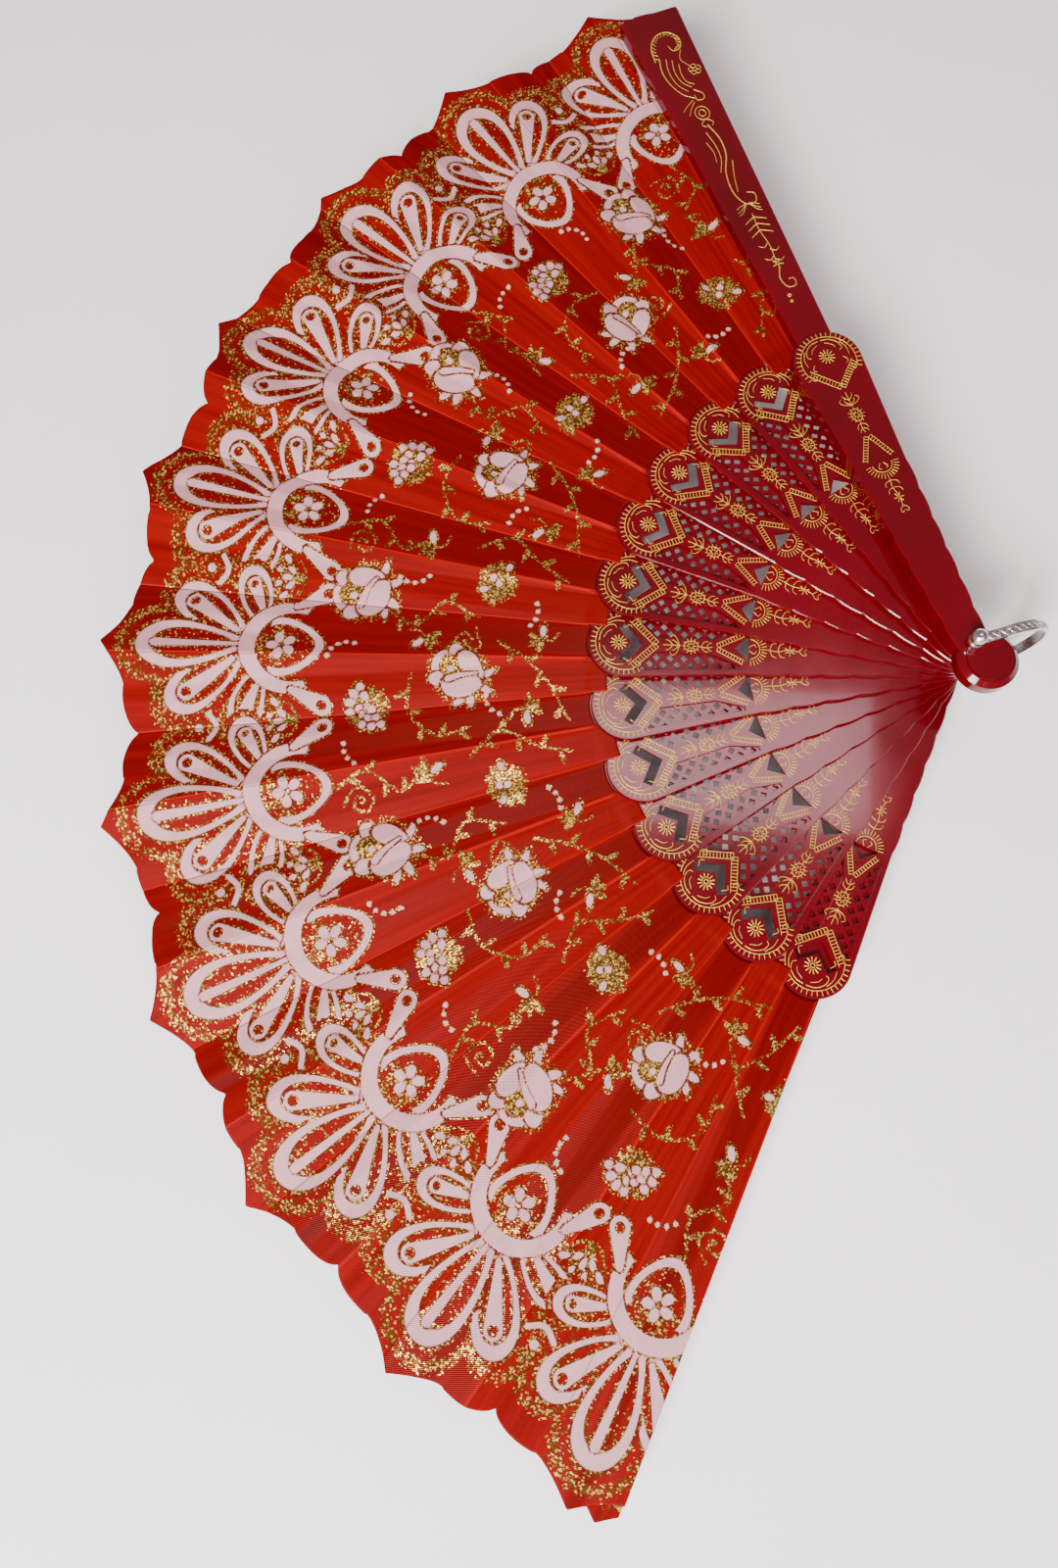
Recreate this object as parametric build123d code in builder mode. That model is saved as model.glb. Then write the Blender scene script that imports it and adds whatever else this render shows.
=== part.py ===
"""Folding hand fan: two guards, twelve pierced sticks, a pleated cloth leaf and a hanging ring.

Millimetres. The pivot runs along +Z through the origin, the back guard's outer face is z = 0,
and the open fan spreads about +Y. The front of the fan faces +Z. Stick 01 is next to the front
guard and stick 12 lies folded on the back guard.
"""
import os
from math import cos, hypot, radians, sin

from build123d import *

os.makedirs("parts", exist_ok=True)

# Spread
STICKS = 12  # inner sticks between the two guards
PITCH = 11.0  # degrees from one stick to the next when open
FRONT_ANGLE = 90 - PITCH * STICKS / 2  # direction of the front guard
BACK_ANGLE = FRONT_ANGLE + PITCH * STICKS  # direction of the back guard and of the last stick

# Reach from the pivot
LEAF_RADIUS = 231.0  # outer edge of the cloth
GUARD_REACH = 224.0  # tip of each guard's blade
HEAD_REACH = 100.5  # rounded head of each stick
RIB_SETBACK = 10.5  # from the end of a rib to the outermost reach of the cloth's scalloped edge
LEAF_HEAD_GAP = 1.0  # from a head to the cloth's inner edge

# Levels of the stack
STICK_T = 1.35
LEVEL_GAP = 0.15  # clearance from one stick to the next
RIB_T = 0.5
CLOTH_T = 0.25
PLEAT_GAP = 0.12  # clearance from a glued panel to the free one above it
GUARD_T = 5.0
GUARD_RECESS = 0.85  # depth of the cloth's seat on a blade's inner face
BLADE_STEP = 0.5  # from a guard's head down to its blade's outer face

# Stick head and shank
HEAD_HALF = 10.0  # half the width of the head, and its radius
SHANK_HALF = 7.3  # half the width where the shank starts
SHANK_START = 55.0
NECK_HALF = 4.4  # half the width at the pivot
SCALLOPS = 6  # shallow waves on each edge of the shank
SCALLOP_RISE = 0.45
RIB_ROOT_HALF = 4.5
RIB_TIP_HALF = 2.0
EDGE_BREAK = 0.25  # chamfer round a stick's top edge

# Pierced work, by its reach from the pivot
SLOT_POINT = 85.1  # V slot
SLOT_HALF = 6.0
SLOT_RISE = 5.2
SLOT_WIDTH = 2.6
WINDOW_FLOOR = 0.75  # what is left under the sunk lattice
WINDOW_OUTER = 80.6
WINDOW_INNER = 59.0
WINDOW_SPINE = 2.1  # half the width of the spine between the windows
WINDOW_RIM = 1.5  # from a window to the stick's edge
WINDOW_END = 1.2  # square end of a window, beside the rim
WINDOW_SPLAY = 66.8  # where a window leaves the spine to pass the triangle
LATTICE_PITCH = 2.65
LATTICE_HOLE = 1.55
LATTICE_MARGIN = 0.35
LEAST_HOLE = 0.33  # smallest part of a diamond that is still cut through
TRIANGLE_POINT = 60.2
TRIANGLE_BASE = 56.4
TRIANGLE_HALF = 3.8

# Guards
BLADE_ROOT_HALF = 5.2
BLADE_TIP_HALF = 9.8
BLADE_BREAK = 0.9  # chamfer along the blade
BLADE_CORNER = 1.5
KNOB_RADIUS = 8.2
KNOB_BACK = 5.2  # centre of the knob, behind the pivot
KNOB_SIDE = 2.0
KNOB_BREAK = 1.4
KNOB_PAD_RADIUS = 6.2
KNOB_PAD_RISE = 0.4

# Pivot and ring
PIN_RADIUS = 1.25
PIN_CLEARANCE = 0.05
BALL_RADIUS = 2.3
BALL_FLAT = 0.5  # cut from a ball where it bears on the ring
BALL_GAP = 0.1  # from a ball to the ring's arm
PIN_IN_BALL = 1.6  # how far the pin reaches into a ball
RING_STRAP_W = 2.8
RING_STRAP_T = 1.0
RING_GAP = 0.2  # from the ring's arms to the guards
RING_ARM = 10.5  # straight part of each arm, which lets the knobs pass inside the ring
RING_ANGLE = -69.5
RING_EYE_RADIUS = 2.1  # rounded end of an arm, round the pin

LEVEL = STICK_T + LEVEL_GAP
STACK_T = GUARD_T * 2 + LEVEL_GAP + LEVEL * STICKS
FRONT_BASE = STACK_T - GUARD_T
LEAF_INNER = HEAD_REACH + LEAF_HEAD_GAP
RIB_REACH = LEAF_RADIUS - RIB_SETBACK
HEAD_CENTRE = HEAD_REACH - HEAD_HALF
BORE_RADIUS = PIN_RADIUS + PIN_CLEARANCE
PANEL_HALF = PITCH / 4  # half the angle that one panel of cloth covers
ARM_LOW = -RING_GAP - RING_STRAP_T
ARM_HIGH = STACK_T + KNOB_PAD_RISE + RING_GAP
RING_TOP = ARM_HIGH + RING_STRAP_T


def stick_level(number):
    """Underside of an inner stick; the last one is the lowest."""
    return GUARD_T + LEVEL_GAP + LEVEL * (STICKS - number)


def along(angle, level):
    """Plane at a level, with its X axis along a stick that points to an angle."""
    return Plane.XY.offset(level).rotated((0, 0, angle))


def shank_points(side):
    """Ends of the scallops along one edge of the shank, from the neck to the head."""
    step = SHANK_START / SCALLOPS
    slope = (SHANK_HALF - NECK_HALF) / SHANK_START
    return [(step * i, side * (NECK_HALF + slope * step * i)) for i in range(SCALLOPS + 1)]


def edge_half(reach):
    """Half the width of a stick between its shank and its head."""
    share = (reach - SHANK_START) / (HEAD_CENTRE - SHANK_START)
    return SHANK_HALF + share * (HEAD_HALF - SHANK_HALF)


def stick_outline():
    """Closed outline of a stick: round neck, scalloped shank, straight sides, round head."""
    for side in (-1, 1):
        points = shank_points(side)
        for start, end in zip(points, points[1:]):
            middle = ((start[0] + end[0]) / 2, (start[1] + end[1]) / 2 + side * SCALLOP_RISE)
            ThreePointArc(start, middle, end)
        Line(points[-1], (HEAD_CENTRE, side * HEAD_HALF))
    ThreePointArc((HEAD_CENTRE, -HEAD_HALF), (HEAD_REACH, 0), (HEAD_CENTRE, HEAD_HALF))
    ThreePointArc((0, -NECK_HALF), (-NECK_HALF, 0), (0, NECK_HALF))


def window_corners(side, margin=0.0):
    """Corners of the sunk lattice on one side of the spine, drawn in by a margin."""
    rise = SLOT_RISE / SLOT_HALF
    outer = WINDOW_OUTER - margin * hypot(1, rise)
    outer_half = edge_half(WINDOW_OUTER) - WINDOW_RIM - margin
    inner_half = edge_half(WINDOW_INNER) - WINDOW_RIM - margin
    spine = WINDOW_SPINE + margin
    return [
        (outer + rise * spine, side * spine),
        (outer + rise * outer_half, side * outer_half),
        (WINDOW_INNER + margin, side * inner_half),
        (WINDOW_INNER + margin, side * (inner_half - WINDOW_END)),
        (WINDOW_SPLAY + margin, side * spine),
    ]


def lattice_points(side):
    """Centres of the diamond holes: a square grid turned by 45 degrees along one window."""
    step = LATTICE_PITCH * sin(radians(45))
    first = WINDOW_SPINE + LATTICE_MARGIN + LATTICE_HOLE * sin(radians(45))
    columns = range(int((HEAD_REACH - WINDOW_INNER) / step))
    return [
        (WINDOW_INNER + step * column, side * (first + step * row))
        for row in range(int(HEAD_HALF / step))
        for column in columns
        if (row + column) % 2 == 0
    ]


def stick_holes():
    """Everything that goes right through a stick's head."""
    arm = hypot(SLOT_RISE, SLOT_HALF)
    reach = SLOT_POINT + SLOT_RISE
    end_out = SLOT_WIDTH * SLOT_HALF / arm
    end_in = SLOT_WIDTH * SLOT_RISE / arm
    Polygon(
        (SLOT_POINT, 0),
        (reach, SLOT_HALF),
        (reach + end_out, SLOT_HALF - end_in),
        (SLOT_POINT + SLOT_WIDTH * arm / SLOT_HALF, 0),
        (reach + end_out, end_in - SLOT_HALF),
        (reach, -SLOT_HALF),
        align=None,
    )
    Polygon(
        (TRIANGLE_POINT, 0),
        (TRIANGLE_BASE, -TRIANGLE_HALF),
        (TRIANGLE_BASE, TRIANGLE_HALF),
        align=None,
    )


# Diamond holes, cut off along the windows' edges; slivers are left out
with BuildSketch() as lattice_cut:
    for side in (-1, 1):
        with Locations(*lattice_points(side)):
            Rectangle(LATTICE_HOLE, LATTICE_HOLE, rotation=45)
    with BuildSketch(mode=Mode.INTERSECT):
        for side in (-1, 1):
            Polygon(*window_corners(side, LATTICE_MARGIN), align=None)
holes = [hole for hole in lattice_cut.faces() if hole.area > LATTICE_HOLE**2 * LEAST_HOLE]

with BuildPart() as stick_blank:
    with BuildSketch():
        with BuildLine():
            stick_outline()
        make_face()
    extrude(amount=STICK_T)
    chamfer(faces().sort_by(Axis.Z)[-1].edges(), EDGE_BREAK)
    with BuildSketch():
        stick_holes()
        add(holes)
        Circle(BORE_RADIUS)
    extrude(amount=STICK_T, mode=Mode.SUBTRACT)
    with BuildSketch(Plane.XY.offset(WINDOW_FLOOR)):
        for side in (-1, 1):
            Polygon(*window_corners(side), align=None)
    extrude(amount=STICK_T, mode=Mode.SUBTRACT)
    with BuildSketch():
        Polygon(
            (HEAD_CENTRE, -RIB_ROOT_HALF),
            (RIB_REACH, -RIB_TIP_HALF),
            (RIB_REACH, RIB_TIP_HALF),
            (HEAD_CENTRE, RIB_ROOT_HALF),
            align=None,
        )
        with BuildLine():
            stick_outline()
        make_face(mode=Mode.SUBTRACT)
    extrude(amount=RIB_T)

with BuildPart() as blade_blank:
    with BuildSketch(Plane.XY.offset(GUARD_RECESS)):
        Polygon(
            (HEAD_CENTRE, -BLADE_ROOT_HALF),
            (GUARD_REACH, -BLADE_TIP_HALF),
            (GUARD_REACH, BLADE_TIP_HALF),
            (HEAD_CENTRE, BLADE_ROOT_HALF),
            align=None,
        )
        fillet(vertices().group_by(Axis.X)[-1], BLADE_CORNER)
    extrude(amount=GUARD_T - BLADE_STEP - GUARD_RECESS)
    chamfer(faces().sort_by(Axis.Z)[-1].edges(), BLADE_BREAK)

with BuildPart() as knob_blank:
    with BuildSketch():
        with Locations((-KNOB_BACK, -KNOB_SIDE)):
            Circle(KNOB_RADIUS)
    extrude(amount=GUARD_T)
    chamfer(faces().sort_by(Axis.Z)[-1].edges(), KNOB_BREAK)

# Guard with its outer face up and its inner face on z = 0
with BuildPart() as guard_blank:
    with BuildSketch():
        with BuildLine():
            stick_outline()
        make_face()
    extrude(amount=GUARD_T)
    chamfer(faces().sort_by(Axis.Z)[-1].edges(), EDGE_BREAK * 2)
    add(blade_blank.part)
    add(knob_blank.part)
    with BuildSketch():
        Circle(BORE_RADIUS)
    extrude(amount=GUARD_T, mode=Mode.SUBTRACT)


def write(piece, name):
    """Label a finished piece and write it to its own STEP file."""
    piece.label = name
    export_step(piece, f"parts/{name}.step")


# The back guard is the front guard's mirror image: outer face down on z = 0, inner face up, with
# its knob on the same side of the pin once the fan is closed
with BuildPart() as back_guard:
    flipped = mirror(guard_blank.part, about=Plane.XY, mode=Mode.PRIVATE)
    add(flipped.moved(Location((0, 0, GUARD_T))).rotate(Axis.Z, BACK_ANGLE))
write(back_guard.part, "back_guard")

with BuildPart() as front_guard:
    add(guard_blank.part.moved(Location((0, 0, FRONT_BASE))).rotate(Axis.Z, FRONT_ANGLE))
    with BuildSketch(along(FRONT_ANGLE, STACK_T)):
        with Locations((-KNOB_BACK, -KNOB_SIDE)):
            Circle(KNOB_PAD_RADIUS)
        Circle(BORE_RADIUS, mode=Mode.SUBTRACT)
    extrude(amount=KNOB_PAD_RISE)
write(front_guard.part, "front_guard")

for number in range(1, STICKS + 1):
    with BuildPart() as inner_stick:
        angle = FRONT_ANGLE + PITCH * number
        add(stick_blank.part.moved(Location((0, 0, stick_level(number)))).rotate(Axis.Z, angle))
    write(inner_stick.part, f"inner_stick_{number:02d}")


# One flat panel of the pleated cloth, pointing along +X
with BuildPart() as panel_blank:
    with BuildSketch():
        with BuildLine():
            inner = CenterArc((0, 0), LEAF_INNER, -PANEL_HALF, 2 * PANEL_HALF)
            outer = CenterArc((0, 0), LEAF_RADIUS, -PANEL_HALF, 2 * PANEL_HALF)
            Line(inner @ 0, outer @ 0)
            Line(inner @ 1, outer @ 1)
        make_face()
    extrude(amount=CLOTH_T)


def cloth_seat(number):
    """Underside of the panel glued to a stick; 0 is the front guard and the last the back guard."""
    if number == 0:
        return FRONT_BASE + GUARD_RECESS - CLOTH_T
    if number > STICKS:
        return GUARD_T - GUARD_RECESS
    return stick_level(number) + RIB_T


def panel(angle, level, name):
    """Write one panel of cloth, turned to its own angle at its own level."""
    with BuildPart() as leaf_panel:
        add(panel_blank.part.moved(Location((0, 0, level))).rotate(Axis.Z, angle))
    write(leaf_panel.part, name)


panel(FRONT_ANGLE, cloth_seat(0), "leaf_glued_front_guard")
for number in range(1, STICKS + 1):
    panel(FRONT_ANGLE + PITCH * number, cloth_seat(number), f"leaf_glued_{number:02d}")
panel(BACK_ANGLE, cloth_seat(STICKS + 1), "leaf_glued_back_guard")

# Free panel 13 lies folded between stick 12 and the back guard; the others bridge two sticks
for number in range(1, STICKS + 2):
    angle = min(FRONT_ANGLE + PITCH * (number - 0.5), BACK_ANGLE)
    panel(angle, cloth_seat(number) + CLOTH_T + PLEAT_GAP, f"leaf_free_{number:02d}")

# Pivot pin, ball ends and ring
BALL_SEAT = BALL_RADIUS - BALL_FLAT

with BuildPart() as front_ball:
    with Locations((0, 0, RING_TOP + BALL_GAP + BALL_SEAT)):
        Sphere(BALL_RADIUS)
    split(bisect_by=Plane.XY.offset(RING_TOP + BALL_GAP), keep=Keep.TOP)
    with BuildSketch(Plane.XY.offset(RING_TOP + BALL_GAP)):
        Circle(PIN_RADIUS)
    extrude(amount=PIN_IN_BALL, mode=Mode.SUBTRACT)
write(front_ball.part, "front_ball")

with BuildPart() as back_ball:
    with Locations((0, 0, ARM_LOW - BALL_GAP - BALL_SEAT)):
        Sphere(BALL_RADIUS)
    split(bisect_by=Plane.XY.offset(ARM_LOW - BALL_GAP), keep=Keep.BOTTOM)
    with BuildSketch(Plane.XY.offset(ARM_LOW - BALL_GAP)):
        Circle(PIN_RADIUS)
    extrude(amount=-PIN_IN_BALL, mode=Mode.SUBTRACT)
write(back_ball.part, "back_ball")

with BuildPart() as pivot_pin:
    with BuildSketch(Plane.XY.offset(ARM_LOW - BALL_GAP - PIN_IN_BALL)):
        Circle(PIN_RADIUS)
    extrude(amount=RING_TOP - ARM_LOW + 2 * (BALL_GAP + PIN_IN_BALL))
write(pivot_pin.part, "pivot_pin")

# The ring is drawn in the plane of the pin and of the ring's own direction
RING_MIDDLE = (ARM_LOW + RING_TOP) / 2
RING_OUTER = (RING_TOP - ARM_LOW) / 2
RING_INNER = RING_OUTER - RING_STRAP_T
ring_plane = Plane(
    origin=(0, 0, RING_MIDDLE),
    x_dir=(cos(radians(RING_ANGLE)), sin(radians(RING_ANGLE)), 0),
    z_dir=(sin(radians(RING_ANGLE)), -cos(radians(RING_ANGLE)), 0),
)
with BuildPart() as hanging_ring:
    with BuildSketch(ring_plane):
        with BuildLine():
            Line((0, RING_OUTER), (RING_ARM, RING_OUTER))
            ThreePointArc((RING_ARM, RING_OUTER), (RING_ARM + RING_OUTER, 0), (RING_ARM, -RING_OUTER))
            Line((RING_ARM, -RING_OUTER), (0, -RING_OUTER))
            Line((0, -RING_OUTER), (0, -RING_INNER))
            Line((0, -RING_INNER), (RING_ARM, -RING_INNER))
            ThreePointArc((RING_ARM, -RING_INNER), (RING_ARM + RING_INNER, 0), (RING_ARM, RING_INNER))
            Line((RING_ARM, RING_INNER), (0, RING_INNER))
            Line((0, RING_INNER), (0, RING_OUTER))
        make_face()
    extrude(amount=RING_STRAP_W / 2, both=True)
    with BuildSketch(Plane.XY.offset(ARM_LOW)):
        Circle(RING_EYE_RADIUS)
    extrude(amount=RING_STRAP_T)
    with BuildSketch(Plane.XY.offset(ARM_HIGH)):
        Circle(RING_EYE_RADIUS)
    extrude(amount=RING_STRAP_T)
    with BuildSketch(Plane.XY.offset(ARM_LOW)):
        Circle(BORE_RADIUS)
    extrude(amount=RING_TOP - ARM_LOW, mode=Mode.SUBTRACT)
write(hanging_ring.part, "hanging_ring")
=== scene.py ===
"""Looks of a folding hand fan: pleated printed cloth, foil-stamped plastic sticks, a plated ring.

The scene is in metres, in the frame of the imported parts: the pivot runs along +Z through the
origin, the open fan spreads about +Y and its front faces +Z. Sizes below are in millimetres.
"""

import bmesh
import bpy
import numpy as np
from mathutils import Matrix, Vector


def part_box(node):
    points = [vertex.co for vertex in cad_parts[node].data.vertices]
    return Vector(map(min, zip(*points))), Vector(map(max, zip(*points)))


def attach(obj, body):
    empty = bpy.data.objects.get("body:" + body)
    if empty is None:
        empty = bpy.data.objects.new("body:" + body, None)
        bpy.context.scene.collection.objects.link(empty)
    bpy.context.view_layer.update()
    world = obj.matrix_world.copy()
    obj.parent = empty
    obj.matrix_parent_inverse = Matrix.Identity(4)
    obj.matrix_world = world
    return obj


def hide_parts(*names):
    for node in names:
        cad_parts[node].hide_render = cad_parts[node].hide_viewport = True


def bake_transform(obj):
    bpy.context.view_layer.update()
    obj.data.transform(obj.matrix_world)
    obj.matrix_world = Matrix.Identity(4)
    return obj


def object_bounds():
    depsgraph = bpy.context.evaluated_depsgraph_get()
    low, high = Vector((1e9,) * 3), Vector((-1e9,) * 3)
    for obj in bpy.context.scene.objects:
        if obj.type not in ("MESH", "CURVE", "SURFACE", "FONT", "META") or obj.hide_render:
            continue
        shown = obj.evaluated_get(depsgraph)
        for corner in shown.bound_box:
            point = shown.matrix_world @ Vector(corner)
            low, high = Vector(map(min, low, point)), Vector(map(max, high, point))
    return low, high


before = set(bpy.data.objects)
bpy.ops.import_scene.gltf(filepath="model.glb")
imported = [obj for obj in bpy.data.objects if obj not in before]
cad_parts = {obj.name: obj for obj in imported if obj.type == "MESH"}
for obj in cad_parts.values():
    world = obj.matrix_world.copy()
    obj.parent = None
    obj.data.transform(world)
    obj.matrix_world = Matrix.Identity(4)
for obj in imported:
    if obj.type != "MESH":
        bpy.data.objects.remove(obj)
cad_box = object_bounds()

MM = 0.001
STICKS = 12
PITCH = 11.0  # degrees from one stick to the next
FRONT_ANGLE = 24.0  # direction of the front guard
BACK_ANGLE = 156.0  # direction of the back guard and of stick 12
HALF_PANEL = PITCH / 4  # half the angle that one panel of cloth covers
CLOTH_INNER = 101.5  # reach of the cloth's inner edge
CLOTH_OUTER = 231.0  # reach of the cloth that stands for its flat size
CLOTH_T = 0.2
CELL = 0.6  # side of a face on the cloth
GLUE = 0.16  # from a rib to the middle of the cloth's thickness
HEAD_MIDDLE = 90.5  # middle of a stick's round head
HEAD_CLEAR = 10.3  # from the middle of a head to the cloth round it
NOTCH_REACH = 95.5  # reach of the cloth between two heads
MEDALLION_STEP = 12.78  # degrees from one medallion of the print to the next
FIRST_MEDALLION = 28.0  # direction of the first one on the flat cloth
CREASE_BASE = 0.75  # room for a crease above or below the outermost stick
CREASE_STEP = 1.25  # more room with each stick further in
PASS_MIDDLE = 0.63  # where a free panel crosses the middle of a rib, over the rib
PASS_RISE = 0.26  # from there to the rib's side
TUCKED = 0.925  # level of a free panel between the heads, over the rib
TUCK_END = 99.2  # reach where it starts to leave that level
TUCK_FADE = 3


def srgb(red, green, blue):
    """Linear colour of a swatch given in 0 to 255 steps."""
    steps = np.array([red, green, blue]) / 255
    linear = np.where(steps <= 0.04045, steps / 12.92, ((steps + 0.055) / 1.055) ** 2.4)
    return (*[float(c) for c in linear], 1.0)


def keep(obj):
    """Put a new object into the scene."""
    bpy.context.scene.collection.objects.link(obj)
    return obj


# Camera, floor and lights

def add_camera():
    """Camera close above the cloth, with the fan's direction of spread turned to the left."""
    data = bpy.data.cameras.new("camera")
    data.sensor_fit = "VERTICAL"
    data.sensor_height = 24
    data.lens = 16.5
    data.clip_start = 0.01
    eye = Vector((-112.57, 110.56, 292.06)) * MM
    look = (Vector((-41.1, 114.4, 14.0)) * MM - eye).normalized()
    up = Vector((0.96692, 0.05461, 0.24918))
    right = look.cross(up).normalized()
    up = right.cross(look)
    turn = Matrix((right, up, -look)).transposed().to_4x4()
    camera = keep(bpy.data.objects.new("camera", data))
    camera.matrix_world = Matrix.Translation(eye) @ turn
    bpy.context.scene.camera = camera


def add_floor():
    """Broad pale floor just under the pin's lower end."""
    mesh = bpy.data.meshes.new("floor")
    form = bmesh.new()
    bmesh.ops.create_grid(form, x_segments=1, y_segments=1, size=1.5)
    bmesh.ops.translate(form, verts=form.verts, vec=(0, 0, cad_box[0][2] - 0.0004))
    form.to_mesh(mesh)
    form.free()
    floor = keep(bpy.data.objects.new("floor", mesh))
    paint = Paint("pale_floor")
    paint.shader(Roughness=0.75)
    grain = paint.noise(paint.place(), 40, 3)
    paint.colour(paint.blend_colours(grain, srgb(247, 247, 247), srgb(252, 252, 252)))
    mesh.materials.append(paint.material)


def add_panel_light(name, place, target, size, power, tint):
    """Rectangular softbox at a place, turned to a target; all in metres."""
    data = bpy.data.lights.new(name, "AREA")
    data.shape = "RECTANGLE"
    data.size, data.size_y = size
    data.energy = power
    data.color = tint
    light = keep(bpy.data.objects.new(name, data))
    light.location = place
    light.rotation_euler = (Vector(target) - Vector(place)).to_track_quat("-Z", "Y").to_euler()


def add_lights():
    """A window over the sticks for their sheen, a low key across the pleats, and soft fill."""
    add_panel_light("window", (0.15, -0.04, 0.62), (0.15, -0.04, 0), (0.12, 0.26), 0.95, (1, 0.7, 0.76))
    add_panel_light("key", (-0.8, 0.45, 0.75), (-0.02, 0.1, 0), (0.45, 0.45), 36, (1, 0.97, 0.94))
    add_panel_light("fill", (-0.75, -0.35, 0.9), (0, 0.1, 0), (0.9, 0.9), 6, (0.95, 0.97, 1))
    world = bpy.data.worlds.new("room")
    world.use_nodes = True
    world.node_tree.nodes["Background"].inputs["Color"].default_value = (1.0, 0.8, 0.82, 1)
    world.node_tree.nodes["Background"].inputs["Strength"].default_value = 0.28
    bpy.context.scene.world = world


# Finishes

class Paint:
    """One material's node tree, with a short call for each kind of node that the finishes use."""

    def __init__(self, name):
        self.material = bpy.data.materials.new(name)
        self.material.use_nodes = True
        self.tree = self.material.node_tree
        self.base = self.tree.nodes["Principled BSDF"]

    def node(self, kind, **settings):
        made = self.tree.nodes.new(kind)
        for key, value in settings.items():
            setattr(made, key, value)
        return made

    def feed(self, socket, value):
        if isinstance(value, bpy.types.NodeSocket):
            self.tree.links.new(value, socket)
        else:
            socket.default_value = value

    def shader(self, **constants):
        """Set numbers straight on the shader's own sockets; a name's underscores stand for spaces."""
        for key, value in constants.items():
            self.base.inputs[key.replace("_", " ")].default_value = value

    def colour(self, value):
        self.feed(self.base.inputs["Base Color"], value)

    def place(self, scale=(1, 1, 1), turn=(0, 0, 0)):
        """Object coordinates, scaled and turned."""
        mapping = self.node("ShaderNodeMapping")
        mapping.inputs["Scale"].default_value = scale
        mapping.inputs["Rotation"].default_value = turn
        self.feed(mapping.inputs["Vector"], self.node("ShaderNodeTexCoord").outputs["Object"])
        return mapping.outputs["Vector"]

    def attribute(self, name, output="Fac"):
        return self.node("ShaderNodeAttribute", attribute_name=name).outputs[output]

    def math(self, operation, first, second=0.0, clamp=False):
        made = self.node("ShaderNodeMath", operation=operation, use_clamp=clamp)
        self.feed(made.inputs[0], first)
        self.feed(made.inputs[1], second)
        return made.outputs[0]

    def step(self, value, low, high, start=0.0, end=1.0):
        """Value brought from the span low to high into the span start to end, held at both ends."""
        made = self.node("ShaderNodeMapRange", clamp=True)
        for socket, number in zip(made.inputs, (value, low, high, start, end)):
            self.feed(socket, number)
        return made.outputs[0]

    def blend_colours(self, share, first, second):
        made = self.node("ShaderNodeMix", data_type="RGBA")
        self.feed(made.inputs["Factor"], share)
        self.feed(made.inputs[6], first)
        self.feed(made.inputs[7], second)
        return made.outputs[2]

    def noise(self, where, scale, detail=2.0, distortion=0.0):
        made = self.node("ShaderNodeTexNoise")
        self.feed(made.inputs["Vector"], where)
        self.feed(made.inputs["Scale"], scale)
        self.feed(made.inputs["Detail"], detail)
        self.feed(made.inputs["Distortion"], distortion)
        return made.outputs["Fac"]

    def cells(self, where, scale):
        """Two random numbers for each Voronoi cell."""
        made = self.node("ShaderNodeTexVoronoi")
        self.feed(made.inputs["Vector"], where)
        self.feed(made.inputs["Scale"], scale)
        split = self.node("ShaderNodeSeparateColor")
        self.feed(split.inputs[0], made.outputs["Color"])
        return split.outputs[0], split.outputs[1]

    def bump(self, height, depth, strength=1.0, below=None):
        made = self.node("ShaderNodeBump")
        made.inputs["Distance"].default_value = depth
        made.inputs["Strength"].default_value = strength
        self.feed(made.inputs["Height"], height)
        if below is not None:
            self.feed(made.inputs["Normal"], below)
        self.feed(self.base.inputs["Normal"], made.outputs["Normal"])
        return made.outputs["Normal"]


def crimson_plastic():
    """Glossy moulded plastic: slow colour drift, shallow flow waves and fine handling scratches."""
    paint = Paint("crimson_plastic")
    paint.shader(Coat_Weight=0.2, Coat_Roughness=0.04, IOR=1.45, Specular_IOR_Level=0.42)
    where = paint.place()
    drift = paint.step(paint.noise(where, 22, 3), 0.3, 0.7)
    paint.colour(paint.blend_colours(drift, srgb(78, 0, 8), srgb(98, 1, 13)))
    scratches = paint.noise(paint.place((900, 60, 60), (0, 0, 0.6)), 4, 3)
    smears = paint.noise(where, 90, 4, 0.6)
    lines = paint.step(scratches, 0.55, 0.75, 0, 0.05)
    wear = paint.math("ADD", lines, paint.step(smears, 0.4, 0.8, 0, 0.06))
    paint.feed(paint.base.inputs["Roughness"], paint.math("ADD", wear, 0.1))
    waves = paint.bump(paint.noise(where, 90, 1), 0.00003)
    paint.bump(scratches, 0.000004, below=waves)
    return paint.material


def gold_foil():
    """Hot-stamped foil: crinkled bright gold that thins to brown in places."""
    paint = Paint("gold_foil")
    paint.shader(Metallic=0.65)
    where = paint.place()
    thin = paint.step(paint.noise(where, 900, 3), 0.35, 0.75)
    paint.colour(paint.blend_colours(thin, srgb(255, 230, 100), srgb(234, 186, 48)))
    paint.feed(paint.base.inputs["Roughness"], paint.step(paint.noise(where, 1500, 2), 0.3, 0.7, 0.22, 0.45))
    paint.bump(paint.noise(where, 1800, 2), 0.00012)
    return paint.material


def silver_plate():
    """Bright plating with fine lengthwise scratches and a little tarnish."""
    paint = Paint("silver_plate")
    paint.shader(Metallic=1.0)
    where = paint.place()
    tarnish = paint.step(paint.noise(where, 400, 3), 0.4, 0.8)
    paint.colour(paint.blend_colours(tarnish, srgb(232, 231, 228), srgb(176, 172, 168)))
    lines = paint.noise(paint.place((300, 300, 2500)), 3, 2)
    paint.feed(paint.base.inputs["Roughness"], paint.step(lines, 0.3, 0.7, 0.12, 0.3))
    paint.bump(lines, 0.00003)
    return paint.material


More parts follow.
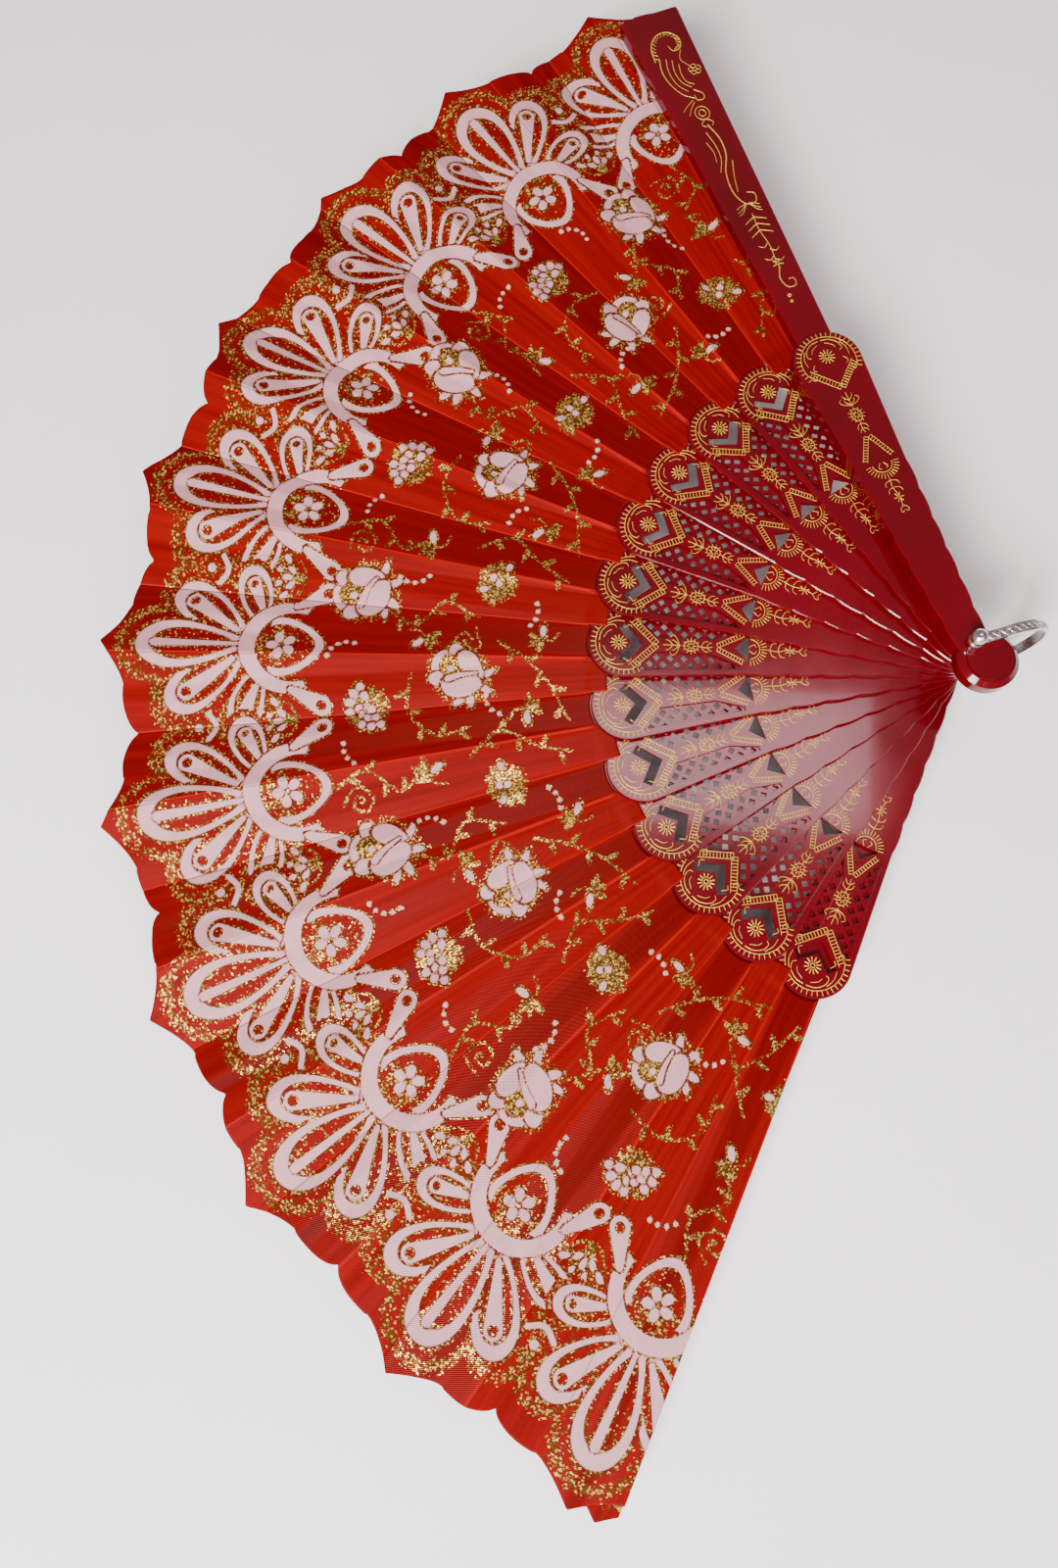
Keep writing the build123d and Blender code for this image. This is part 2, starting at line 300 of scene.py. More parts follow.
def red_twill(paint, dark, light):
    """Twill of the cloth: slow streaks along the pleats and fine diagonal lines. Gives its colour."""
    weave = paint.attribute("weave", "Vector")
    parts = paint.node("ShaderNodeSeparateXYZ")
    paint.feed(parts.inputs[0], weave)
    along, across = parts.outputs[0], parts.outputs[1]
    diagonal = paint.math("MULTIPLY", paint.math("ADD", along, across), 2 * np.pi / 0.52)
    twill = paint.math("SINE", diagonal)
    stretch = paint.node("ShaderNodeMapping")
    stretch.inputs["Scale"].default_value = (0.02, 0.5, 1)
    paint.feed(stretch.inputs["Vector"], weave)
    streaks = paint.step(paint.noise(stretch.outputs[0], 1.0, 3), 0.3, 0.7)
    threads = paint.noise(weave, 3.5, 2)
    share = paint.math("ADD", paint.math("MULTIPLY", streaks, 0.5), paint.math("MULTIPLY", threads, 0.35))
    share = paint.math("ADD", share, paint.math("MULTIPLY", twill, 0.12), clamp=True)
    return weave, twill, paint.blend_colours(share, dark, light)


def printed_cloth():
    """Face of the leaf: red twill, white print edged in dark gold, and gold glitter flakes, with painted
    shade where a rib lies under it and a painted highlight along each crease.
    """
    paint = Paint("printed_cloth")
    paint.shader(Sheen_Weight=0.04, Sheen_Roughness=0.35, Specular_IOR_Level=0.08)
    paint.base.inputs["Sheen Tint"].default_value = (1, 0.15, 0.08, 1)
    weave, twill, red = red_twill(paint, srgb(94, 0, 0), srgb(142, 1, 0))
    flake, shade = paint.cells(weave, 2.3)
    white = paint.attribute("white")
    gold = paint.attribute("gold")
    dust = paint.attribute("dust")
    ragged = paint.math("MULTIPLY", paint.math("SUBTRACT", flake, 0.5), 0.5)
    is_white = paint.step(white, -0.12, 0.06, 1, 0)
    near_white = paint.math("MULTIPLY", paint.step(white, 0.45, 0.75, 1, 0), 0.5)
    in_gold = paint.step(paint.math("ADD", gold, ragged), -0.1, 0.1, 1, 0)
    loose = paint.math("MAXIMUM", dust, near_white)
    density = paint.math("MAXIMUM", loose, paint.math("MULTIPLY", in_gold, 0.9))
    is_flake = paint.math("LESS_THAN", flake, density)
    is_flake = paint.math("MULTIPLY", is_flake, paint.step(white, -0.1, 0.15, 0, 1))
    not_white = paint.math("SUBTRACT", 1.0, is_white)
    stain = paint.math("MULTIPLY", paint.step(white, 0.0, 0.75, 0.75, 0), not_white)
    stain = paint.math("MAXIMUM", stain, paint.math("MULTIPLY", in_gold, 0.65))
    crease, rib = paint.attribute("crease"), paint.attribute("rib")
    # Painted shade: the red goes darker where a rib lies under the cloth.
    red = paint.blend_colours(paint.math("MULTIPLY", rib, 0.5), red, srgb(76, 0, 0))
    # Painted highlight: a thin lighter red line along each crease.
    red = paint.blend_colours(paint.step(crease, 0.1, 0.45, 0.45, 0), red, srgb(196, 16, 6))
    ground = paint.blend_colours(stain, red, srgb(66, 18, 6))
    chalk = paint.blend_colours(paint.noise(weave, 0.35, 3), srgb(210, 156, 163), srgb(186, 136, 144))
    ground = paint.blend_colours(is_white, ground, chalk)
    glint = paint.blend_colours(paint.step(shade, 0.45, 1), srgb(92, 58, 18), srgb(236, 200, 104))
    paint.colour(paint.blend_colours(is_flake, ground, glint))
    paint.feed(paint.base.inputs["Metallic"], paint.math("MULTIPLY", is_flake, 0.5))
    paint.feed(paint.base.inputs["Roughness"], paint.step(is_flake, 0, 1, 0.52, 0.3))
    raised = paint.math("ADD", is_white, paint.math("MULTIPLY", paint.math("MULTIPLY", is_flake, shade), 2.0))
    woven = paint.bump(twill, 0.00003)
    paint.bump(raised, 0.00008, below=woven)
    return paint.material


def cloth_back():
    """Back of the leaf: duller twill with the print's faint shadow."""
    paint = Paint("cloth_back")
    paint.shader(Sheen_Weight=0.03, Sheen_Roughness=0.5, Specular_IOR_Level=0.08)
    _, twill, red = red_twill(paint, srgb(84, 0, 0), srgb(122, 2, 1))
    shadow = paint.step(paint.attribute("white"), -0.2, 0.5, 0.12, 0)
    paint.colour(paint.blend_colours(shadow, red, srgb(176, 84, 80)))
    paint.feed(paint.base.inputs["Roughness"], paint.step(twill, -1, 1, 0.62, 0.7))
    paint.bump(twill, 0.00003)
    return paint.material


# The print, worked out on the flat cloth: reach from the pivot, and direction in degrees

def swept(points, count=24):
    """Smooth line through a few points: evenly spaced places on a Catmull-Rom curve."""
    points = np.array(points, float)
    ends = np.vstack([2 * points[0] - points[1], points, 2 * points[-1] - points[-2]])
    t = np.linspace(0, len(points) - 1 - 1e-9, count)
    i = t.astype(int)
    f = (t - i)[:, None]
    a, b, c, d = ends[i], ends[i + 1], ends[i + 2], ends[i + 3]
    return 0.5 * (2 * b + (c - a) * f + (2 * a - 5 * b + 4 * c - d) * f**2 + (3 * b - a - 3 * c + d) * f**3)


def line_distance(x, y, points, half, end_half=None, count=24):
    """Distance to a smooth line whose half width runs evenly from one end to the other."""
    places = swept(points, count)
    halves = np.linspace(half, half if end_half is None else end_half, count)
    best = np.full(x.shape, 99.0)
    for (px, py), (qx, qy), p_half, q_half in zip(places, places[1:], halves, halves[1:]):
        dx, dy = qx - px, qy - py
        t = np.clip(((x - px) * dx + (y - py) * dy) / (dx * dx + dy * dy + 1e-9), 0, 1)
        gap = np.hypot(x - px - t * dx, y - py - t * dy) - p_half - t * (q_half - p_half)
        best = np.minimum(best, gap)
    return best


def petal_distance(x, y, centre, turn, long, half, taper=0.0):
    """Distance to an egg-shaped petal; turn is the direction of its long half, in degrees."""
    c, s = np.cos(np.radians(turn)), np.sin(np.radians(turn))
    u = (x - centre[0]) * c + (y - centre[1]) * s
    v = (y - centre[1]) * c - (x - centre[0]) * s
    wide = half * np.clip(1 + taper * u / long, 0.25, 2)
    return (np.sqrt((u / long) ** 2 + (v / wide) ** 2) - 1) * min(long, half)


class Print:
    """Distances to the white and gold print and the thickness of loose glitter at each point."""

    def __init__(self, reach, direction):
        self.reach, self.direction = reach, direction
        self.white = np.full(reach.shape, 9.0)
        self.gold = np.full(reach.shape, 9.0)
        self.dust = np.zeros(reach.shape)

    def near(self, reach, direction, turn, size):
        """Points within a size of a motif's centre, in the motif's own turned coordinates."""
        x = np.radians(direction - self.direction) * self.reach
        y = self.reach - reach
        found = np.flatnonzero(np.hypot(x, y) < size)
        c, s = np.cos(np.radians(turn)), np.sin(np.radians(turn))
        return found, x[found] * c + y[found] * s, y[found] * c - x[found] * s

    def lay_white(self, found, shape, gap=0.45):
        """White over what is there, with a thin gap left round it."""
        self.white[found] = np.minimum(np.maximum(self.white[found], gap - shape), shape)

    def lay_gold(self, found, shape):
        self.gold[found] = np.minimum(self.gold[found], shape)


def feather_medallion(art, direction):
    """Palmette of outlined feathers over a crescent, with a small flower in a rounded shield."""
    found, x, y = art.near(200, direction, 0, 44)
    y = y + 200
    side = np.abs(x)
    outline = np.minimum(
        petal_distance(x, y, (0, 210.5), 90, 17.5, 9.8, 0.42),
        np.minimum(petal_distance(side, y, (11.5, 204), 55, 16, 8.2, 0.35),
                   petal_distance(side, y, (15, 192.5), 22, 13, 7.6, 0.3)))
    halo = np.clip(0.85 - np.abs(outline - 0.2) / 1.5, 0, 0.62)
    art.dust[found] = np.maximum(art.dust[found], halo)
    inside = (outline < 0) & (y > 190)
    art.dust[found] = np.where(inside, np.maximum(art.dust[found], 0.07), art.dust[found])
    root = np.clip(0.3 - np.abs(y - 196) / 14, 0, 0.25) * (side < 14)
    art.dust[found] = np.maximum(art.dust[found], root)
    low_loop = petal_distance(side, y, (14.6, 193.2), 20, 9.6, 4.4, 0.35)
    side_loop = petal_distance(side, y, (9.9, 204.6), 55, 13.2, 5.3, 0.45)
    main_loop = petal_distance(x, y, (0, 208.6), 90, 15.6, 6.4, 0.5)
    for loop, band in ((low_loop, 0.6), (side_loop, 0.7), (main_loop, 0.85)):
        art.white[found] = np.where(loop < 0.9, 9.0, art.white[found])
        art.lay_white(found, np.abs(loop + band) - band, 0)
    for middle, root, ring, hole in (((18.8, 194.6), (10.2, 190.6), 1.9, 1.05),
                                     ((13.4, 210.2), (4.4, 197.2), 2.35, 1.4)):
        drop = line_distance(side, y, [middle, root], ring, 0.7, 2)
        art.lay_white(found, np.maximum(drop, hole - np.hypot(side - middle[0], y - middle[1])))
    art.lay_white(found, line_distance(x, y, [(0, 219.0), (0, 207), (0, 195)], 1.3, 0.5, 4))
    swing = np.degrees(np.arctan2(side, y - 182.2))
    thick = 2.15 - 0.8 * (swing / 118) ** 2
    crescent = np.maximum(np.abs(np.hypot(x, y - 182.2) - 11.6) - thick, (swing - 112) * 0.2)
    shield = petal_distance(x, y, (0, 183.2), -90, 10.4, 8.2, -0.28)
    art.white[found] = np.where(shield < 0.5, 9.0, art.white[found])
    art.lay_white(found, np.where(y < 188, np.abs(shield + 0.9) - 0.95, 9.0))
    art.lay_white(found, crescent)
    for leaf in range(5):
        lean = 90 + 72 * leaf
        middle = (2.5 * np.cos(np.radians(lean)), 184.4 + 2.5 * np.sin(np.radians(lean)))
        art.lay_white(found, petal_distance(x, y, middle, lean, 1.7, 1.25, 0.2))
    art.lay_gold(found, np.hypot(x, y - 184.4) - 0.8)
    art.dust[found] = np.where(shield < -1.5, np.maximum(art.dust[found], 0.1), art.dust[found])
    hole = np.hypot(side - 16.2, y - 173.6)
    knob = line_distance(side, y, [(16.2, 173.6), (12.2, 181.6)], 2.75, 1.0, 2)
    art.white[found] = np.where(knob < 0.5, 9.0, art.white[found])
    art.lay_white(found, np.maximum(knob, 1.4 - hole))
    art.lay_gold(found, np.abs(hole - 1.25) - 0.15)


def floret_spray(art, direction):
    """Spray of small florets between two medallions, under a short crescent and a dot."""
    found, x, y = art.near(190, direction, 0, 24)
    for row, count, lift in ((0, 3, 3.0), (1, 4, 6.3)):
        for i in range(count):
            lean = 90 + (i - (count - 1) / 2) * (46 - 10 * row)
            middle = (lift * np.cos(np.radians(lean)), lift * np.sin(np.radians(lean)) - 7.5)
            art.lay_white(found, petal_distance(x, y, middle, lean, 1.6, 0.85, 0.2))
    art.lay_gold(found, petal_distance(x, y, (0, -7.6), 90, 2.2, 1.6))
    art.lay_gold(found, np.abs(petal_distance(x, y, (0, -4.2), 90, 5.6, 5.4)) - 0.3)
    art.lay_white(found, line_distance(x, y, [(-4.6, 15.0), (0, 12.4), (4.6, 15.0)], 0.75, 0.75, 10))
    art.lay_white(found, np.hypot(x, y - 17.2) - 1.2)
    art.dust[found] = np.maximum(art.dust[found], np.clip(0.3 - np.hypot(x, y - 16) / 20, 0, 0.25))


def rose(art, reach, direction, turn, size=1.0):
    """Open rose seen from the side: cupped petals, a rolled heart and small leaves."""
    found, x, y = art.near(reach, direction, turn, 15 * size)
    x, y = x / size, y / size
    for spot, lean, long, half in (((-4.6, -7.2), 215, 2.6, 1.2), ((4.4, -7.0), -30, 2.8, 1.1),
                                   ((0.4, -8.6), -84, 2.9, 1.1), ((-6.9, -4.6), 170, 2.2, 1.0)):
        art.lay_white(found, petal_distance(x, y, spot, lean, long, half) * size)
    for spot, lean, long, half in (((0, 5.0), 90, 3.4, 4.6), ((-4.0, 2.7), 118, 4.4, 2.5),
                                   ((4.2, 2.3), 62, 4.6, 2.6)):
        art.lay_white(found, petal_distance(x, y, spot, lean, long, half) * size)
    heart = petal_distance(x, y, (0.4, 3.1), 80, 3.5, 3.1)
    art.white[found] = np.where(heart < 0, 9.0, art.white[found])
    art.lay_gold(found, heart * size + 0.1)
    art.lay_white(found, petal_distance(x, y, (-0.2, 2.4), 60, 1.3, 1.0) * size)
    art.lay_white(found, petal_distance(x, y, (4.1, -1.9), 74, 5.0, 2.7, 0.2) * size)
    art.lay_white(found, petal_distance(x, y, (-2.3, -2.7), 128, 6.0, 3.7, 0.15) * size)
    art.lay_white(found, line_distance(x, y, [(-3.0, 1.6), (0.2, -1.0), (3.2, -4.6)], 1.0, 0.35, 12) * size)
    glow = np.clip(0.42 - petal_distance(x, y, (0, -0.6), 90, 9.6, 8.2) / 3, 0, 0.5)
    art.dust[found] = np.maximum(art.dust[found], np.where(art.white[found] > 0, glow, 0))


def aster(art, reach, direction, turn, size=1.0, silver=4):
    """Dome of overlapping gold petals in three rows, of which the first few are white."""
    found, x, y = art.near(reach, direction, turn, 12 * size)
    x, y = x / size, y / size
    number = 0
    for count, lift, long in ((8, 6.0, 1.9), (6, 3.3, 1.7), (3, 1.0, 1.4)):
        for i in range(count):
            lean = 90 + (i - (count - 1) / 2) * (200 / count)
            middle = (lift * np.cos(np.radians(lean)), lift * np.sin(np.radians(lean)))
            shape = petal_distance(x, y, middle, lean, long, 1.3, 0.2) * size
            if number % 5 < silver:
                art.lay_white(found, shape + 0.15)
            else:
                art.lay_gold(found, shape)
            number += 1
    for lean in (215, 250, 290, 325):
        spot = (3.4 * np.cos(np.radians(lean)), 3.4 * np.sin(np.radians(lean)))
        art.lay_gold(found, petal_distance(x, y, spot, lean, 2.1, 1.0) * size)
    body = petal_distance(x, y, (0, 1.6), 90, 6.4, 6.8)
    art.dust[found] = np.maximum(art.dust[found], np.clip(0.4 - np.maximum(body, 0) * 1.4, 0, 0.4))


def leaf_sprig(art, reach, direction, turn, size=1.0):
    """Three gold leaves and a pale bud on a short stalk."""
    found, x, y = art.near(reach, direction, turn, 10 * size)
    x, y = x / size, y / size
    for lean in (50, 95, 140):
        spot = (2.6 * np.cos(np.radians(lean)), 2.6 * np.sin(np.radians(lean)))
        art.lay_gold(found, petal_distance(x, y, spot, lean, 2.3, 1.05, 0.1) * size)
    art.lay_white(found, petal_distance(x, y, (3.0, -1.2), -20, 2.2, 1.1) * size)
    art.lay_gold(found, line_distance(x, y, [(0, 0), (-1.2, -3.2), (0.6, -6.2)], 0.35, 0.3, 8) * size)


def vine(art, points, leaves=True):
    """Dotted gold vine through (reach, direction) points, with small leaves on both sides."""
    points = np.array(points, float)
    middle = points.mean(axis=0)
    found, x, y = art.near(middle[0], middle[1], 0, 40)
    flat = [(np.radians(middle[1] - d) * r, r - middle[0]) for r, d in points]
    places = swept(flat, 28)
    beads = line_distance(x, y, flat, 0.34, 0.3, 28)
    art.lay_gold(found, beads)
    for i in range(4, 26, 5) if leaves else ():
        step = places[i + 1] - places[i]
        heading = np.degrees(np.arctan2(step[1], step[0]))
        lean = heading + (62 if i % 2 else -62)
        spot = places[i] + 1.9 * np.array((np.cos(np.radians(lean)), np.sin(np.radians(lean))))
        art.lay_gold(found, petal_distance(x, y, spot, lean, 1.7, 0.7))


def pearl_row(art, reach, direction, turn, count=5, bow=5.5):
    """Arc of white dots."""
    found, x, y = art.near(reach, direction, turn, 12)
    for i in range(count):
        lean = np.radians(90 + (i - (count - 1) / 2) * 24)
        art.lay_white(found, np.hypot(x - bow * np.cos(lean), y - bow * np.sin(lean) + bow) * 2.6 - 1.8, 0)


def spiral(art, reach, direction, turn):
    """Thin gold curl."""
    found, x, y = art.near(reach, direction, turn, 9)
    curl = [(0.42 * a * np.cos(a), 0.42 * a * np.sin(a)) for a in np.linspace(0, 3.6 * np.pi, 9)]
    art.lay_gold(found, line_distance(x, y, curl, 0.3, 0.3, 60))


def draw_print(reach, direction):
    """Whole print: twelve medallions along the edge, sprays between them and a flowered field."""
    art = Print(reach, direction)
    for i in range(-1, 12):
        floret_spray(art, FIRST_MEDALLION + MEDALLION_STEP * i + MEDALLION_STEP / 2)
    for i in range(12):
        feather_medallion(art, FIRST_MEDALLION + MEDALLION_STEP * i)
    for i in range(6):
        start = FIRST_MEDALLION - 1 + 2 * MEDALLION_STEP * i
        flip = -1 if i % 2 else 1
        rose(art, 164, start + 8.0, 20 * flip, 1.0)
        rose(art, 136, start + 16.5, -35 * flip, 0.92)
        aster(art, 160, start + 19.5, 25 * flip, 0.95, 4)
        aster(art, 126, start + 5.0, -15 * flip, 0.85, 1)
        leaf_sprig(art, 147, start + 2.0, 40 * flip, 0.9)
        leaf_sprig(art, 145, start + 12.4, 150 * flip, 0.85)
        leaf_sprig(art, 113, start + 12.0, 20 * flip, 0.8)
        leaf_sprig(art, 118, start + 21.5, 200 * flip, 0.85)
        vine(art, [(172, start + 1.5), (163, start + 0.5), (155, start + 3.0), (149, start + 1.5)])
        vine(art, [(156, start + 9.5), (148, start + 11.0), (141, start + 8.0), (131, start + 9.5)])
        vine(art, [(149, start + 16.5), (150, start + 20.5), (143, start + 23.5), (134, start + 23.0)])
        vine(art, [(125, start + 12.5), (117, start + 15.0), (111, start + 18.5), (107, start + 24.0)])
        vine(art, [(135, start + 1.0), (126, start - 1.5), (117, start + 1.0), (108, start + 3.0)])
        pearl_row(art, 169, start + 13.5, -60 * flip, 5)
        pearl_row(art, 150, start + 6.3, 100 * flip, 5)
        pearl_row(art, 128, start + 20.8, 30 * flip, 4)
        pearl_row(art, 115, start + 8.5, 170 * flip, 4)
        pearl_row(art, 168, start + 24.2, 20 * flip, 4)
        spiral(art, 134, start + 12.6, 40 * flip)
        spiral(art, 166, start + 3.2, 200 * flip)
    return art


# The leaf

def cloth_edge(direction):
    """Reach of the scalloped outer edge: a point over each medallion and a wave on each side."""
    half = MEDALLION_STEP / 2
    off = np.abs((direction - FIRST_MEDALLION + half) % MEDALLION_STEP - half)
    wave = 222.6 + 4.9 * np.sqrt(np.clip(1 - ((off - 3.6) / 2.85) ** 2, 0, 1))
    tip = 227.2 + 6.8 * np.clip(1 - off / 3.1, 0, 1) ** 1.5
    return np.where(off < 3.1, tip, wave)


def cloth_start(kind, number, off):
    """Reach of the inner edge: round a panel's own head, or in between two heads."""
    if number > STICKS:
        return np.full(off.shape, CLOTH_INNER)
    if kind == "free":
        return np.full(off.shape, NOTCH_REACH)
    turn = np.radians(off)
    return HEAD_MIDDLE * np.cos(turn) + np.sqrt(HEAD_CLEAR**2 - (HEAD_MIDDLE * np.sin(turn)) ** 2)


def rib_half(reach):
    """Half the width of the rib under the cloth."""
    return 4.5 - 2.5 * np.clip((reach - HEAD_MIDDLE) / 130, 0, 1)


def fold_rise(reach):
    """How far a crease stands above or below the panel that is glued to a rib."""
    return 0.27 * np.maximum(np.radians(HALF_PANEL) * reach - rib_half(reach), 0.2)


def seat(node):
    """Level of the rib or guard that a panel of cloth is glued to."""
    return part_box(node)[0].z / MM


def glued_height(number, reach, off):
    """Height of glued panel number, off degrees from its stick: flat on the rib, then to its creases."""
    level = seat(f"leaf_glued_{number:02d}") + GLUE
    edge = np.degrees(rib_half(reach) / reach)
    slope = np.clip((np.abs(off) - edge) / np.maximum(HALF_PANEL - edge, 0.15), 0, 1)
    rise = fold_rise(reach)
    up = 0.2 * rise if number == STICKS else np.minimum(rise, CREASE_BASE + CREASE_STEP * (number - 1))
    down = np.minimum(rise, CREASE_BASE + CREASE_STEP * (STICKS - number))
    return level + slope * np.where(off < 0, -down, up)


def crease_height(number, reach, low_side):
    """Height of a panel's crease on its low-angle or high-angle side; 0 is the front guard."""
    if number == 0:
        return np.full(reach.shape, seat("leaf_glued_front_guard") + CLOTH_T / 2)
    if number > STICKS:
        return np.full(reach.shape, seat("leaf_glued_back_guard") + CLOTH_T / 2)
    return glued_height(number, reach, np.full(reach.shape, -HALF_PANEL if low_side else HALF_PANEL))


def free_height(number, reach, share):
    """Height of free panel number, from its crease with stick number to the one before's.

    Within the width of a rib it passes over its own stick's glued panel, and near the heads it
    lies flat. The panel at the back guard only has to meet its two creases.
    """
    first = crease_height(number, reach, True)
    last = crease_height(number - 1, reach, False)
    if number > STICKS:
        return first + (last - first) * share**3.4
    low = seat(f"leaf_glued_{number:02d}")
    spot = 2 * share - 1
    edge = np.degrees(rib_half(reach) / reach) / HALF_PANEL
    near_side, far_side = low + PASS_MIDDLE - PASS_RISE, low + PASS_MIDDLE + PASS_RISE
    before = first + (near_side - first) * np.clip((spot + 1) / (1 - edge), 0, 1)
    after = far_side + (last - far_side) * np.clip((spot - edge) / (1 - edge), 0, 1)
    over = low + PASS_MIDDLE + PASS_RISE * np.clip(spot / edge, -1, 1)
    height = np.where(spot < -edge, before, np.where(spot > edge, after, over))
    tucked = low + TUCKED
    out = np.clip((reach - TUCK_END) / TUCK_FADE, 0, 1)
    return tucked + (height - tucked) * out * out * (3 - 2 * out)


def pleat_look(kind, reach, off):
    """Distance to a panel's nearest crease, and how much rib is under it: the face paints a highlight along
    the crease and shade over the rib from these.
    """
    crease = np.radians(HALF_PANEL - np.abs(off)) * reach
    width = rib_half(reach)
    if kind != "glued":
        return crease, 0 * reach
    rib = np.clip((width + 0.6 - np.abs(np.radians(off) * reach)) / 1.2, 0, 1)
    return crease, rib


def panels():
    """Every panel: name, kind, number and middle direction at rest."""
    rows = [("leaf_glued_front_guard", "guard", 0, FRONT_ANGLE)]
    rows += [(f"leaf_glued_{n:02d}", "glued", n, FRONT_ANGLE + PITCH * n) for n in range(1, STICKS + 1)]
    rows += [("leaf_glued_back_guard", "guard", STICKS + 1, BACK_ANGLE)]
    rows += [(f"leaf_free_{n:02d}", "free", n, min(FRONT_ANGLE + PITCH * (n - 0.5), BACK_ANGLE))
             for n in range(1, STICKS + 2)]
    return rows


def flat_direction(kind, number, direction):
    """Direction of a point on the cloth as if the whole leaf were open."""
    if number <= STICKS:
        return direction
    if kind == "free":
        return 2 * (BACK_ANGLE + HALF_PANEL) - direction
    return direction + PITCH


def body_of(number):
    """Body that element number belongs to."""
    if number == 0:
        return "front_guard"
    return "back_guard" if number > STICKS else f"stick_{number:02d}"


def add_leaf(face, back):
    """All panels of the leaf: one grid each, set to its pleat, printed and thickened; the glued and guard
    panels are joined to their bodies.
    """
    made = []
    rows_along = int((CLOTH_OUTER - CLOTH_INNER) / CELL)
    rows_across = int(np.radians(2 * HALF_PANEL) * CLOTH_OUTER / CELL)
    for name, kind, number, middle in panels():
        form = bmesh.new()
        bmesh.ops.create_grid(form, x_segments=rows_along, y_segments=rows_across, size=0.5)
        mesh = bpy.data.meshes.new("cloth_" + name[5:])
        form.to_mesh(mesh)
        form.free()
        flat = np.zeros(len(mesh.vertices) * 3, np.float32)
        mesh.vertices.foreach_get("co", flat)
        flat = flat.reshape(-1, 3).astype(float) + 0.5
        direction = middle + HALF_PANEL * (2 * flat[:, 1] - 1)
        printed = flat_direction(kind, number, direction)
        inner = cloth_start(kind, number, direction - middle)
        reach = inner + flat[:, 0] * (cloth_edge(printed) - inner)
        made.append((name, kind, number, middle, mesh, flat, direction, printed, reach))
    art = draw_print(np.concatenate([m[8] for m in made]), np.concatenate([m[7] for m in made]))
    start = 0
    for name, kind, number, middle, mesh, flat, direction, printed, reach in made:
        part = slice(start, start + len(reach))
        start += len(reach)
        share = flat[:, 1]
        if kind == "guard":
            height = np.full(reach.shape, seat(name) + CLOTH_T / 2 + 0.02)
        elif kind == "glued":
            height = glued_height(number, reach, direction - middle)
        else:
            share = flat[:, 1] if number > STICKS else 1 - flat[:, 1]
            height = free_height(number, reach, share)
        angle = np.radians(direction)
        place = np.stack([reach * np.cos(angle), reach * np.sin(angle), height], 1) * MM
        mesh.vertices.foreach_set("co", place.astype(np.float32).ravel())
        # crease and rib carry the painted highlight along each crease and the painted shade over the ribs.
        crease, rib = pleat_look(kind, reach, direction - middle)
        for key, values in (("white", art.white[part]), ("gold", art.gold[part]),
                            ("dust", art.dust[part]), ("crease", crease), ("rib", rib)):
            mesh.attributes.new(key, "FLOAT", "POINT").data.foreach_set("value", values.astype(np.float32))
        weave = np.stack([reach, np.radians(printed) * 180, np.zeros(reach.shape)], 1)
        threads = mesh.attributes.new("weave", "FLOAT_VECTOR", "POINT")
        threads.data.foreach_set("vector", weave.astype(np.float32).ravel())
        mesh.polygons.foreach_set("use_smooth", np.ones(len(mesh.polygons), bool))
        turned_over = kind == "free" and number > STICKS
        for finish in (back, face) if turned_over else (face, back):
            mesh.materials.append(finish)
        piece = keep(bpy.data.objects.new("cloth_" + name[5:], mesh))
        thick = piece.modifiers.new("thickness", "SOLIDIFY")
        thick.thickness = CLOTH_T * MM
        thick.offset = 0
        thick.material_offset = 1
        if kind == "free":
            join_creases(piece, share, place)
        else:
            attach(piece, body_of(number))
        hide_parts(name)
        declare_cloth(kind)


def join_creases(piece, share, place):
    """Puts each point's even share between its two creases into the mesh for a moment, then sets the points
    back to their places; the panel is left as it is.
    """
    even = 0.5 - np.sin(np.arcsin(1 - 2 * np.clip(share, 0, 1)) / 3)
    spread = np.zeros(place.shape, np.float32)
    spread[:, 0] = even
    piece.data.vertices.foreach_set("co", spread.ravel())
    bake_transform(piece)
    piece.data.vertices.foreach_set("co", place.astype(np.float32).ravel())
    piece.data.update()


def declare_cloth(kind):
    """Does nothing for any kind of panel."""
    if kind == "free":
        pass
    elif kind == "guard":
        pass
    else:
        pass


# Foil ornament

